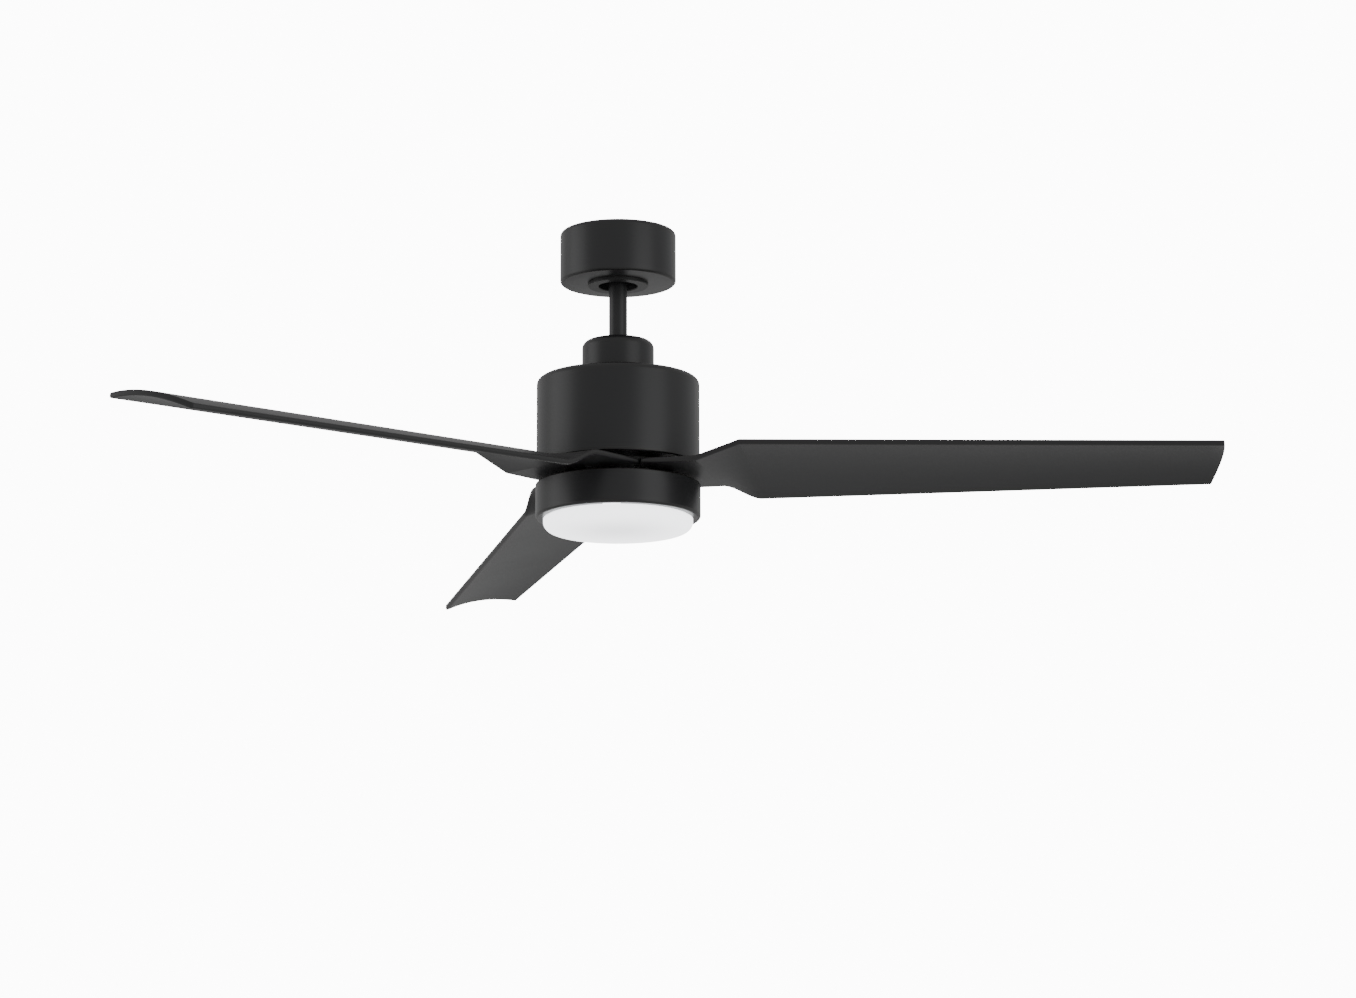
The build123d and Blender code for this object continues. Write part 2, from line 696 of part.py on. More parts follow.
# ================================================================ blade hub
all_blade_screws = [
    (station * cos(turn) + side * sin(turn), station * sin(turn) - side * cos(turn))
    for turn in [radians(azimuth) for azimuth in blade_azimuths]
    for station, side in blade_screw_places
]
hub_head_depth = 3.4

with BuildPart() as blade_hub:
    tube(hub_radius, hub_bore, hub_top, hub_bottom)
    tube(hub_spacer_outer, hub_spacer_inner, shell_bottom, hub_top)
    round_holes(hub_screw_places, blade_screw_radius + thread_play, shell_bottom, hub_bottom)
    round_holes(hub_screw_places, hub_screw_head + 0.3, hub_bottom - hub_head_depth, hub_bottom)
    round_holes(all_blade_screws, blade_screw_radius, hub_top, hub_bottom)
save(blade_hub.part, "blade_hub")

with BuildPart() as hub_screws:
    head_seat = hub_bottom - hub_head_depth
    screws(hub_screw_places, head_seat, head_seat - lower_bearing_bottom - 0.4, blade_screw_radius,
           hub_screw_head, hub_screw_head_height)
save(hub_screws.part, "hub_screws")


# ================================================================ blades
def lerp(start, end, share):
    """Value the given share of the way from `start` to `end`."""
    return start + (end - start) * share


def blade_shape(station):
    """Leading end, trailing end (offset, height) and camber of the blade's mean line at a station."""
    ramp = min(max((station - root_end) / (twist_end - root_end), 0.0), 1.0)
    ease = ramp * ramp * (3 - 2 * ramp)
    span = max((station - twist_end) / (tip_station - twist_end), 0.0)
    taper = (station - root_end) / (tip_station - root_end)
    lead = (leading_offset, -blade_plate_middle + twist_rise * ramp - leading_droop * span)
    trail = (
        -lerp(trailing_offset, tip_trailing_offset, taper),
        -blade_plate_middle - twist_fall * ease - trailing_droop * span,
    )
    camber = root_camber * ease + (tip_camber - root_camber) * span
    return lead, trail, camber


def blade_section(station):
    """Face across the blade that lies along +X: a plate bent to an arc, with half-round edges."""
    (lead_offset, lead_height), (trail_offset, trail_height), camber = blade_shape(station)
    half = blade_thickness / 2
    slope = atan2(lead_height - trail_height, lead_offset - trail_offset)
    reach = (lead_offset - trail_offset) / cos(slope) / 2 - half
    bend = 2 * atan2(camber, reach)
    middle = Vector((lead_offset + trail_offset) / 2, (lead_height + trail_height) / 2)

    def on_face(along, up):
        """Point given along and square to the chord, from the chord's middle."""
        return middle + Vector(along, up).rotate(Axis.Z, degrees(slope))

    high = (reach + half * sin(bend), half * cos(bend))
    low = (reach - half * sin(bend), -half * cos(bend))
    nose = (reach + half * cos(bend), -half * sin(bend))
    frame = Plane(origin=(station, 0, 0), x_dir=(0, -1, 0), z_dir=(-1, 0, 0))
    with BuildSketch(frame, mode=Mode.PRIVATE) as face:
        with BuildLine():
            if camber > 0:
                ThreePointArc(on_face(-high[0], high[1]), on_face(0, camber + half), on_face(*high))
                ThreePointArc(on_face(-low[0], low[1]), on_face(0, camber - half), on_face(*low))
            else:
                Line(on_face(-high[0], high[1]), on_face(*high))
                Line(on_face(-low[0], low[1]), on_face(*low))
            ThreePointArc(on_face(*high), on_face(*nose), on_face(*low))
            ThreePointArc(on_face(-high[0], high[1]), on_face(-nose[0], nose[1]), on_face(-low[0], low[1]))
        make_face()
    return face.sketch


def blade_outline():
    """Plan outline of that blade, a little outside its edges except at the seams and the tip."""
    spare = 1.5
    lead_side = leading_offset + spare
    back_side = tip_trailing_offset + spare
    seam_start = seam_gap / 2 / sin(radians(60))
    seam_side = lead_side + 6.0
    seam_end = seam_start + seam_side / sqrt(3)
    tip_back = tip_front - tip_sweep
    bulge = ((tip_front + tip_back) / 2 + tip_bow, (lead_side - back_side) / 2)
    plan = Plane(origin=(0, 0, -blade_plate_drop + 3 * twist_rise), x_dir=(1, 0, 0), z_dir=(0, 0, -1))
    with BuildSketch(plan, mode=Mode.PRIVATE) as outline:
        with BuildLine():
            Polyline(
                (tip_back, -back_side),
                (twist_end, -trailing_offset - spare),
                (seam_end, -seam_side),
                (seam_start, 0),
                (seam_end, seam_side),
                (root_end, lead_side),
                (tip_front, lead_side),
            )
            ThreePointArc((tip_front, lead_side), bulge, (tip_back, -back_side))
        make_face()
        fillet(outline.vertices().sort_by_distance((tip_front, lead_side))[0], tip_lead_corner)
        fillet(outline.vertices().sort_by_distance((tip_back, -back_side))[0], tip_trail_corner)
    return outline.sketch


twist_stations = [lerp(root_end, twist_end, step / 6) for step in range(7)]
blade_stations = [lerp(twist_end, tip_station + 20, step / 4) for step in range(5)]

with BuildPart() as blade:
    extrude(blade_section(root_end), amount=root_end)
    loft([blade_section(station) for station in twist_stations])
    loft([blade_section(station) for station in blade_stations])
    extrude(blade_outline(), amount=8 * twist_rise, mode=Mode.INTERSECT)
    tip_walls = blade.faces().filter_by(lambda face: abs(face.normal_at().Z) < 0.01).filter_by(
        lambda face: face.center().X > tip_front - 2 * tip_sweep)
    fillet(tip_walls.edges().filter_by(lambda edge: edge.length > 2 * blade_thickness), tip_edge_round)
    round_holes([(0, 0)], blade_bore, hub_top, blade_plate_bottom + 1)
    round_holes([(x, -y) for x, y in blade_screw_places], blade_screw_radius + thread_play, hub_bottom,
                blade_plate_bottom)

for number, azimuth in enumerate(blade_azimuths, start=1):
    save(blade.part.rotate(Axis.Z, azimuth), f"blade_{number}")

washer_bottom = blade_plate_bottom + washer_thickness
with BuildPart() as blade_washers:
    with Locations(*[(x, y, -washer_bottom) for x, y in all_blade_screws]):
        Cylinder(washer_radius, washer_thickness, align=UPWARD)
        Cylinder(blade_screw_radius + thread_play, washer_thickness, align=UPWARD, mode=Mode.SUBTRACT)
save(blade_washers.part, "blade_washers")

with BuildPart() as blade_screws:
    screws(all_blade_screws, washer_bottom, washer_bottom - hub_top - 0.4, blade_screw_radius, 4.2, 3.0)
save(blade_screws.part, "blade_screws")

# ================================================================ light kit
light_screw_places = circle_places(light_screw_circle, light_screw_count, 30.0)
led_standoff_places = circle_places(led_standoff_circle, 3, 30.0)
light_ceiling = light_top + light_wall
lip_top = light_bottom - light_lip
nut_corner = nut_across_flats / 2 / cos(radians(30))

with BuildPart() as light_plate:
    tube(light_plate_radius, shaft_radius, light_plate_top, light_top)
    round_holes(light_screw_places, blade_screw_radius, light_plate_top, light_top)
save(light_plate.part, "light_plate")

with BuildPart() as shaft_nut:
    with BuildSketch(Plane.XY.offset(-light_top - nut_height)):
        RegularPolygon(nut_corner, 6)
        Circle(shaft_radius, mode=Mode.SUBTRACT)
    extrude(amount=nut_height)
save(shaft_nut.part, "shaft_nut")

with BuildPart() as light_housing:
    tube(light_radius, 0, light_top, light_bottom)
    fillet(light_housing.edges().filter_by(GeomType.CIRCLE).sort_by(Axis.Z)[-1], light_top_corner)
    fillet(light_housing.edges().filter_by(GeomType.CIRCLE).sort_by(Axis.Z)[0], light_corner)
    round_holes([(0, 0)], light_radius - light_wall, light_ceiling, lip_top)
    round_holes([(0, 0)], light_opening, lip_top, light_bottom)
    round_holes([(0, 0)], nut_corner + 1.0, light_top, light_ceiling)
    round_holes(light_screw_places, blade_screw_radius + thread_play, light_top, light_ceiling)
    notch_reach = diffuser_neck + lug_reach + 2 * lug_clearance
    notch_half = radians(lug_angle / 2 + 2.0)
    for number in range(lugs):
        centre = radians(twist_lock_angle + number * 360 / lugs)
        with BuildSketch(Plane.XY.offset(-light_bottom)):
            with BuildLine():
                outer_ends = [(notch_reach * cos(angle), notch_reach * sin(angle))
                              for angle in (centre - notch_half, centre + notch_half)]
                outer_middle = (notch_reach * cos(centre), notch_reach * sin(centre))
                ThreePointArc(outer_ends[0], outer_middle, outer_ends[1])
                Line(outer_ends[1], (0, 0))
                Line((0, 0), outer_ends[0])
            make_face()
        extrude(amount=light_lip, mode=Mode.SUBTRACT)
save(light_housing.part, "light_housing")

with BuildPart() as light_screws:
    screws(light_screw_places, light_ceiling, light_screw_length, blade_screw_radius,
           light_screw_head, light_screw_head_height)
save(light_screws.part, "light_screws")

with BuildPart() as led_driver:
    with Locations((0, led_driver_offset, -light_ceiling)):
        Box(*led_driver_size, align=DOWNWARD)
    fillet(led_driver.edges().filter_by(Axis.Z), 2.5)
    fillet(led_driver.faces().sort_by(Axis.Z)[0].edges(), 1.2)
save(led_driver.part, "led_driver")

led_board_bottom = led_board_top + led_board_thickness
with BuildPart() as led_standoffs:
    with Locations(*[(x, y, -light_ceiling) for x, y in led_standoff_places]):
        Cylinder(standoff_radius, led_standoff, align=DOWNWARD)
    round_holes(led_standoff_places, snap_pin, led_board_top - 8.0, led_board_top)
save(led_standoffs.part, "led_standoffs")

with BuildPart() as led_board:
    tube(led_board_radius, 4.0, led_board_top, led_board_bottom)
    round_holes(led_standoff_places, snap_pin + thread_play, led_board_top, led_board_bottom)
save(led_board.part, "led_board")

with BuildPart() as led_chips:
    with Locations((0, 0, -led_board_bottom)):
        for circle, count in led_rings:
            with PolarLocations(circle, count):
                Box(led_size, led_size, led_height, align=DOWNWARD)
save(led_chips.part, "led_chips")

with BuildPart() as led_screws:
    screws(led_standoff_places, led_board_bottom, 7.0, snap_pin, 3.0, 1.8)
save(led_screws.part, "led_board_screws")

# ================================================================ diffuser
lug_bottom = lip_top - lug_clearance
lug_top = lug_bottom - lug_height
diffuser_top = light_bottom + diffuser_gap
diffuser_bottom = light_bottom + diffuser_depth

with BuildPart() as diffuser:
    tube(diffuser_neck, 0, lug_top, diffuser_top)
    tube(diffuser_radius, 0, diffuser_top, diffuser_bottom)
    bulge_edges = diffuser.faces().sort_by(Axis.Z)[0].edges()
    fillet(bulge_edges, diffuser_corner)
    offset(amount=-diffuser_wall, openings=diffuser.faces().sort_by(Axis.Z)[-1])
    for number in range(lugs):
        start = radians(number * 360 / lugs - lug_angle / 2)
        with BuildSketch(Plane.XY.offset(-lug_bottom)):
            with BuildLine():
                sweep_angles = [start + radians(lug_angle) * share for share in (0, 0.5, 1)]
                outer = [((diffuser_neck + lug_reach) * cos(a), (diffuser_neck + lug_reach) * sin(a))
                         for a in sweep_angles]
                inner = [((diffuser_neck - 1) * cos(a), (diffuser_neck - 1) * sin(a)) for a in sweep_angles]
                ThreePointArc(*outer)
                Line(outer[2], inner[2])
                ThreePointArc(*inner)
                Line(inner[0], outer[0])
            make_face()
        extrude(amount=lug_height)
save(diffuser.part, "diffuser")
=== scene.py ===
"""Looks of a satin black three-blade ceiling fan with a round light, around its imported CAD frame."""
import json
import logging
import math
from dataclasses import dataclass
from enum import Enum

import bpy
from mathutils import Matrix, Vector


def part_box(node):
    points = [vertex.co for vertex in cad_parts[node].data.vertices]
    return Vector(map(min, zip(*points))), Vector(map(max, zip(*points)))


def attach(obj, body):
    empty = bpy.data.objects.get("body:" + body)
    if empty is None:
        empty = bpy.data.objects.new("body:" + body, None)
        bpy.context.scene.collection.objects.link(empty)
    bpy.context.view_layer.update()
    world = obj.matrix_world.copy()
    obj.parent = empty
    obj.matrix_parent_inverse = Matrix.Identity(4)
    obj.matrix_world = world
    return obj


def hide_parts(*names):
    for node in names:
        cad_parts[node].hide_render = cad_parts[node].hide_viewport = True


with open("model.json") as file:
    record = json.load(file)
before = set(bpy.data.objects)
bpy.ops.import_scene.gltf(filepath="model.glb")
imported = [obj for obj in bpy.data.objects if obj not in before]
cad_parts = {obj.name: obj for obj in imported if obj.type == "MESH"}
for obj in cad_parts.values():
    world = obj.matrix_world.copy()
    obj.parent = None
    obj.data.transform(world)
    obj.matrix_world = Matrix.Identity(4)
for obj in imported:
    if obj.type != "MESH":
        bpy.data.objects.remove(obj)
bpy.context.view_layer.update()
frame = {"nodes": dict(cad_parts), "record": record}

log = logging.getLogger("ceiling_fan")


# ---------------------------------------------------------------- shader groups
class Socket(Enum):
    """Kinds of socket that the shared shader groups use."""

    NUMBER = "NodeSocketFloat"
    COLOUR = "NodeSocketColor"


def new_group(
    name: str, inputs: dict[str, tuple[Socket, object]], outputs: dict[str, Socket]
) -> tuple[bpy.types.NodeTree, bpy.types.Node, bpy.types.Node]:
    """Make an empty shader group with named sockets.

    Args:
        name: Name of the group.
        inputs: Socket kind and starting value for each input.
        outputs: Socket kind for each output.

    Returns:
        The group's node tree, its input node and its output node.
    """
    tree = bpy.data.node_groups.new(name, "ShaderNodeTree")
    for label, (kind, value) in inputs.items():
        socket = tree.interface.new_socket(name=label, in_out="INPUT", socket_type=kind.value)
        socket.default_value = value
    for label, kind in outputs.items():
        tree.interface.new_socket(name=label, in_out="OUTPUT", socket_type=kind.value)
    return tree, tree.nodes.new("NodeGroupInput"), tree.nodes.new("NodeGroupOutput")


def powder_grain_group() -> bpy.types.NodeTree:
    """Fine orange-peel grain of a sprayed or moulded surface: its height and roughness.

    Returns:
        The group's node tree.
    """
    tree, given, result = new_group(
        "PowderGrain",
        {
            "Scale": (Socket.NUMBER, 900.0),
            "Roughness": (Socket.NUMBER, 0.45),
            "Spread": (Socket.NUMBER, 0.05),
        },
        {"Height": Socket.NUMBER, "Roughness": Socket.NUMBER},
    )
    place = tree.nodes.new("ShaderNodeTexCoord")
    peel = tree.nodes.new("ShaderNodeTexNoise")
    peel.inputs["Detail"].default_value = 3.0
    cloud = tree.nodes.new("ShaderNodeTexNoise")
    cloud.inputs["Scale"].default_value = 9.0
    cloud.inputs["Detail"].default_value = 4.0
    centred = tree.nodes.new("ShaderNodeMath")
    centred.operation = "SUBTRACT"
    centred.inputs[1].default_value = 0.5
    spread = tree.nodes.new("ShaderNodeMath")
    spread.operation = "MULTIPLY_ADD"
    tree.links.new(place.outputs["Object"], peel.inputs["Vector"])
    tree.links.new(place.outputs["Object"], cloud.inputs["Vector"])
    tree.links.new(given.outputs["Scale"], peel.inputs["Scale"])
    tree.links.new(cloud.outputs["Fac"], centred.inputs[0])
    tree.links.new(centred.outputs[0], spread.inputs[0])
    tree.links.new(given.outputs["Spread"], spread.inputs[1])
    tree.links.new(given.outputs["Roughness"], spread.inputs[2])
    tree.links.new(peel.outputs["Fac"], result.inputs["Height"])
    tree.links.new(spread.outputs[0], result.inputs["Roughness"])
    return tree


def drawn_metal_group() -> bpy.types.NodeTree:
    """Fine turned or drawn marks on bare metal: its colour and roughness.

    Returns:
        The group's node tree.
    """
    tree, given, result = new_group(
        "DrawnMetal",
        {
            "Scale": (Socket.NUMBER, 260.0),
            "Roughness": (Socket.NUMBER, 0.3),
            "Spread": (Socket.NUMBER, 0.12),
            "Dark": (Socket.COLOUR, (0.4, 0.4, 0.4, 1.0)),
            "Light": (Socket.COLOUR, (0.6, 0.6, 0.6, 1.0)),
        },
        {"Colour": Socket.COLOUR, "Roughness": Socket.NUMBER},
    )
    place = tree.nodes.new("ShaderNodeTexCoord")
    stretch = tree.nodes.new("ShaderNodeMapping")
    stretch.inputs["Scale"].default_value = (1.0, 1.0, 14.0)
    marks = tree.nodes.new("ShaderNodeTexNoise")
    marks.inputs["Detail"].default_value = 5.0
    blend = tree.nodes.new("ShaderNodeMix")
    blend.data_type = "RGBA"
    spread = tree.nodes.new("ShaderNodeMath")
    spread.operation = "MULTIPLY_ADD"
    tree.links.new(place.outputs["Object"], stretch.inputs["Vector"])
    tree.links.new(stretch.outputs["Vector"], marks.inputs["Vector"])
    tree.links.new(given.outputs["Scale"], marks.inputs["Scale"])
    tree.links.new(marks.outputs["Fac"], blend.inputs["Factor"])
    tree.links.new(given.outputs["Dark"], blend.inputs["A"])
    tree.links.new(given.outputs["Light"], blend.inputs["B"])
    tree.links.new(marks.outputs["Fac"], spread.inputs[0])
    tree.links.new(given.outputs["Spread"], spread.inputs[1])
    tree.links.new(given.outputs["Roughness"], spread.inputs[2])
    tree.links.new(blend.outputs["Result"], result.inputs["Colour"])
    tree.links.new(spread.outputs[0], result.inputs["Roughness"])
    return tree


def rim_glow_group() -> bpy.types.NodeTree:
    """Strength of the light inside a round cover, growing from its middle to its rim.

    Returns:
        The group's node tree.
    """
    tree, given, result = new_group(
        "RimGlow",
        {
            "Radius": (Socket.NUMBER, 0.09),
            "Middle": (Socket.NUMBER, 1.0),
            "Rim": (Socket.NUMBER, 1.3),
        },
        {"Strength": Socket.NUMBER},
    )
    place = tree.nodes.new("ShaderNodeTexCoord")
    flat = tree.nodes.new("ShaderNodeVectorMath")
    flat.operation = "MULTIPLY"
    flat.inputs[1].default_value = (1.0, 1.0, 0.0)
    reach = tree.nodes.new("ShaderNodeVectorMath")
    reach.operation = "LENGTH"
    grow = tree.nodes.new("ShaderNodeMapRange")
    grow.interpolation_type = "SMOOTHSTEP"
    tree.links.new(place.outputs["Object"], flat.inputs[0])
    tree.links.new(flat.outputs["Vector"], reach.inputs[0])
    tree.links.new(reach.outputs["Value"], grow.inputs["Value"])
    tree.links.new(given.outputs["Radius"], grow.inputs["From Max"])
    tree.links.new(given.outputs["Middle"], grow.inputs["To Min"])
    tree.links.new(given.outputs["Rim"], grow.inputs["To Max"])
    tree.links.new(grow.outputs["Result"], result.inputs["Strength"])
    return tree


POWDER_GRAIN = powder_grain_group()
DRAWN_METAL = drawn_metal_group()
RIM_GLOW = rim_glow_group()


# ---------------------------------------------------------------- finishes
def blank_material(name: str) -> tuple[bpy.types.Material, bpy.types.NodeTree, bpy.types.Node]:
    """Make a material holding one Principled shader.

    Args:
        name: Name of the material.

    Returns:
        The material, its node tree and the Principled node.
    """
    material = bpy.data.materials.new(name)
    material.use_nodes = True
    tree = material.node_tree
    return material, tree, tree.nodes["Principled BSDF"]


@dataclass(frozen=True)
class CoatedFinish:
    """Sprayed, moulded or rubber surface with a fine grain."""

    name: str
    colour: tuple[float, float, float]
    roughness: float
    grain_scale: float = 900.0
    grain_depth: float = 0.00002
    grain_strength: float = 0.25
    spread: float = 0.05
    specular: float = 0.5

    def material(self) -> bpy.types.Material:
        """Build the finish as a material.

        Returns:
            The new material.
        """
        material, tree, shader = blank_material(self.name)
        grain = tree.nodes.new("ShaderNodeGroup")
        grain.node_tree = POWDER_GRAIN
        grain.inputs["Scale"].default_value = self.grain_scale
        grain.inputs["Roughness"].default_value = self.roughness
        grain.inputs["Spread"].default_value = self.spread
        bump = tree.nodes.new("ShaderNodeBump")
        bump.inputs["Strength"].default_value = self.grain_strength
        bump.inputs["Distance"].default_value = self.grain_depth
        shader.inputs["Base Color"].default_value = (*self.colour, 1.0)
        shader.inputs["Specular IOR Level"].default_value = self.specular
        tree.links.new(grain.outputs["Height"], bump.inputs["Height"])
        tree.links.new(bump.outputs["Normal"], shader.inputs["Normal"])
        tree.links.new(grain.outputs["Roughness"], shader.inputs["Roughness"])
        return material


@dataclass(frozen=True)
class MetalFinish:
    """Bare or plated metal with turned or drawn marks."""

    name: str
    dark: tuple[float, float, float]
    light: tuple[float, float, float]
    roughness: float
    mark_scale: float = 260.0

    def material(self) -> bpy.types.Material:
        """Build the finish as a material.

        Returns:
            The new material.
        """
        material, tree, shader = blank_material(self.name)
        marks = tree.nodes.new("ShaderNodeGroup")
        marks.node_tree = DRAWN_METAL
        marks.inputs["Scale"].default_value = self.mark_scale
        marks.inputs["Roughness"].default_value = self.roughness
        marks.inputs["Dark"].default_value = (*self.dark, 1.0)
        marks.inputs["Light"].default_value = (*self.light, 1.0)
        shader.inputs["Metallic"].default_value = 1.0
        tree.links.new(marks.outputs["Colour"], shader.inputs["Base Color"])
        tree.links.new(marks.outputs["Roughness"], shader.inputs["Roughness"])
        return material


@dataclass(frozen=True)
class OpalFinish:
    """Milky acrylic that scatters the light falling on it."""

    name: str
    colour: tuple[float, float, float]
    roughness: float
    scatter: float
    glow: float
    rim_glow: float
    radius: float = 0.0865
    grain_scale: float = 500.0
    spread: float = 0.03
    scatter_reach: float = 0.012
    scatter_scale: float = 0.3

    def material(self) -> bpy.types.Material:
        """Build the finish as a material.

        Returns:
            The new material.
        """
        material, tree, shader = blank_material(self.name)
        grain = tree.nodes.new("ShaderNodeGroup")
        grain.node_tree = POWDER_GRAIN
        grain.inputs["Scale"].default_value = self.grain_scale
        grain.inputs["Roughness"].default_value = self.roughness
        grain.inputs["Spread"].default_value = self.spread
        shader.inputs["Base Color"].default_value = (*self.colour, 1.0)
        shader.inputs["Subsurface Weight"].default_value = self.scatter
        shader.inputs["Subsurface Radius"].default_value = (self.scatter_reach,) * 3
        shader.inputs["Subsurface Scale"].default_value = self.scatter_scale
        shader.inputs["Emission Color"].default_value = (*self.colour, 1.0)
        glow = tree.nodes.new("ShaderNodeGroup")
        glow.node_tree = RIM_GLOW
        glow.inputs["Radius"].default_value = self.radius
        glow.inputs["Middle"].default_value = self.glow
        glow.inputs["Rim"].default_value = self.rim_glow
        tree.links.new(glow.outputs["Strength"], shader.inputs["Emission Strength"])
        tree.links.new(grain.outputs["Roughness"], shader.inputs["Roughness"])
        return material


FINISHES = {
    "satin_black_paint": CoatedFinish("SatinBlackPaint", (0.014, 0.014, 0.015), 0.36, specular=0.4),
    "satin_black_plastic": CoatedFinish(
        "SatinBlackPlastic", (0.016, 0.016, 0.017), 0.44, grain_scale=650.0, specular=0.4
    ),
    "black_screws": CoatedFinish("BlackScrews", (0.014, 0.014, 0.014), 0.35, 1400.0),
    "rubber_black": CoatedFinish("RubberBlack", (0.012, 0.012, 0.012), 0.75, 500.0, specular=0.3),
    "component_black": CoatedFinish("ComponentBlack", (0.018, 0.018, 0.018), 0.5),
    "magnet_ferrite": CoatedFinish("MagnetFerrite", (0.045, 0.045, 0.05), 0.6),
    "white_nylon": CoatedFinish("WhiteNylon", (0.78, 0.78, 0.75), 0.45),
    "circuit_board": CoatedFinish("CircuitBoard", (0.015, 0.12, 0.04), 0.35),
    "led_board_white": CoatedFinish("LedBoardWhite", (0.86, 0.86, 0.84), 0.4),
    "led_phosphor": CoatedFinish("LedPhosphor", (0.88, 0.68, 0.18), 0.3),
    "zinc_steel": MetalFinish("ZincSteel", (0.50, 0.51, 0.53), (0.66, 0.67, 0.68), 0.26),
    "bearing_steel": MetalFinish("BearingSteel", (0.60, 0.60, 0.61), (0.72, 0.72, 0.73), 0.12),
    "lamination_steel": MetalFinish("LaminationSteel", (0.22, 0.22, 0.23), (0.34, 0.34, 0.35), 0.4, 500.0),
    "cast_aluminium": MetalFinish("CastAluminium", (0.52, 0.53, 0.55), (0.62, 0.63, 0.65), 0.42, 120.0),
    "copper_winding": MetalFinish("CopperWinding", (0.50, 0.20, 0.08), (0.72, 0.34, 0.14), 0.3, 600.0),
    "opal_diffuser": OpalFinish("OpalDiffuser", (0.80, 0.81, 0.83), 0.42, 0.25, 2.2, 3.4),
}


# ---------------------------------------------------------------- turned shapes
SMOOTH_UNDER = math.radians(32.0)
MERGE_REACH = 1e-6


@dataclass(frozen=True)
class Corner:
    """One corner of a turned piece's outline: its radius from the axis, height and rounding."""

    reach: float
    height: float
    rounding: float = 0.0


def rounded_outline(corners: list[Corner], steps: int = 8) -> list[tuple[float, float]]:
    """Replace each rounded corner of a closed outline by points on its arc.

    Args:
        corners: The outline's corners in order.
        steps: Number of pieces in each arc.

    Returns:
        Points as (distance from the axis, height).
    """
    points = []
    for number, corner in enumerate(corners):
        here = Vector((corner.reach, corner.height))
        if corner.rounding == 0.0:
            points.append((here.x, here.y))
            continue
        before, after = corners[number - 1], corners[(number + 1) % len(corners)]
        back = (Vector((before.reach, before.height)) - here).normalized()
        ahead = (Vector((after.reach, after.height)) - here).normalized()
        half = back.angle(ahead) / 2
        centre = here + (back + ahead).normalized() * (corner.rounding / math.sin(half))
        start = here + back * (corner.rounding / math.tan(half)) - centre
        end = here + ahead * (corner.rounding / math.tan(half)) - centre
        sweep = start.angle_signed(end)
        for step in range(steps + 1):
            turn = -sweep * step / steps
            x = start.x * math.cos(turn) - start.y * math.sin(turn)
            y = start.x * math.sin(turn) + start.y * math.cos(turn)
            points.append((centre.x + x, centre.y + y))
    return points


def turn_piece(
    name: str, corners: list[Corner], material: bpy.types.Material, sides: int = 144
) -> bpy.types.Object:
    """Turn a closed outline round the fan's axis into a solid ring or shell.

    Args:
        name: Name of the new piece.
        corners: Corners of the closed outline.
        material: Material of the piece.
        sides: Number of flats round the axis.

    Returns:
        The new piece.
    """
    points = rounded_outline(corners)
    bpy.ops.object.select_all(action="DESELECT")
    reach, height = points[0]
    bpy.ops.mesh.primitive_circle_add(vertices=sides, radius=reach, location=(0.0, 0.0, height))
    piece = bpy.context.object
    piece.name = piece.data.name = name
    bpy.ops.object.mode_set(mode="EDIT")
    for next_reach, next_height in points[1:] + points[:1]:
        rise = (0.0, 0.0, next_height - height)
        bpy.ops.mesh.extrude_edges_move(TRANSFORM_OT_translate={"value": rise})
        share = next_reach / reach
        bpy.ops.transform.resize(value=(share, share, 1.0), center_override=(0.0, 0.0, next_height))
        reach, height = next_reach, next_height
    bpy.ops.mesh.select_all(action="SELECT")
    bpy.ops.mesh.remove_doubles(threshold=MERGE_REACH)
    bpy.ops.mesh.normals_make_consistent(inside=False)
    bpy.ops.object.mode_set(mode="OBJECT")
    bpy.ops.object.transform_apply(location=True, rotation=True, scale=True)
    bpy.ops.object.shade_smooth_by_angle(angle=SMOOTH_UNDER)
    piece.data.materials.append(material)
    return piece


# ---------------------------------------------------------------- sub-assemblies
@dataclass
class SubAssembly:
    """Group of the fan's nodes that are built and dressed together."""

    materials: dict[str, bpy.types.Material]
    nodes: tuple[str, ...] = ()

    def build(self) -> None:
        """Build the group, which is only dressed unless it has turned pieces."""
        self.dress()

    def dress(self) -> None:
        """Give each CAD node of the group the finish of its slot."""
        for part in frame["record"]["subparts"]:
            if part["node"] in self.nodes:
                mesh = frame["nodes"][part["node"]].data
                mesh.materials.clear()
                mesh.materials.append(self.materials[part["material_slot"]])
        log.info("%s: dressed %d nodes", type(self).__name__, len(self.nodes))

    def stand_in(self, node: str, corners: list[Corner], body: str, slot: str) -> None:
        """Show a finely turned piece in place of a CAD node.

        Args:
            node: The CAD node that it stands for.
            corners: Corners of its closed outline.
            body: CAD body that it rides on.
            slot: Material slot that gives its finish.
        """
        piece = turn_piece(f"{node}_turned", corners, self.materials[slot])
        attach(piece, body)
        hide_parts(node)
        log.info("turned %s for %s", piece.name, node)


def top_of(node: str) -> float:
    """Height of a node's highest point.

    Args:
        node: Name of the CAD node.

    Returns:
        Its height in metres.
    """
    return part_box(node)[1][2]


def foot_of(node: str) -> float:
    """Height of a node's lowest point.

    Args:
        node: Name of the CAD node.

    Returns:
        Its height in metres.
    """
    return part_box(node)[0][2]


def reach_of(node: str) -> float:
    """Largest distance of a round node from the axis, read along +X.

    Args:
        node: Name of the CAD node.

    Returns:
        Its distance in metres.
    """
    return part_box(node)[1][0]


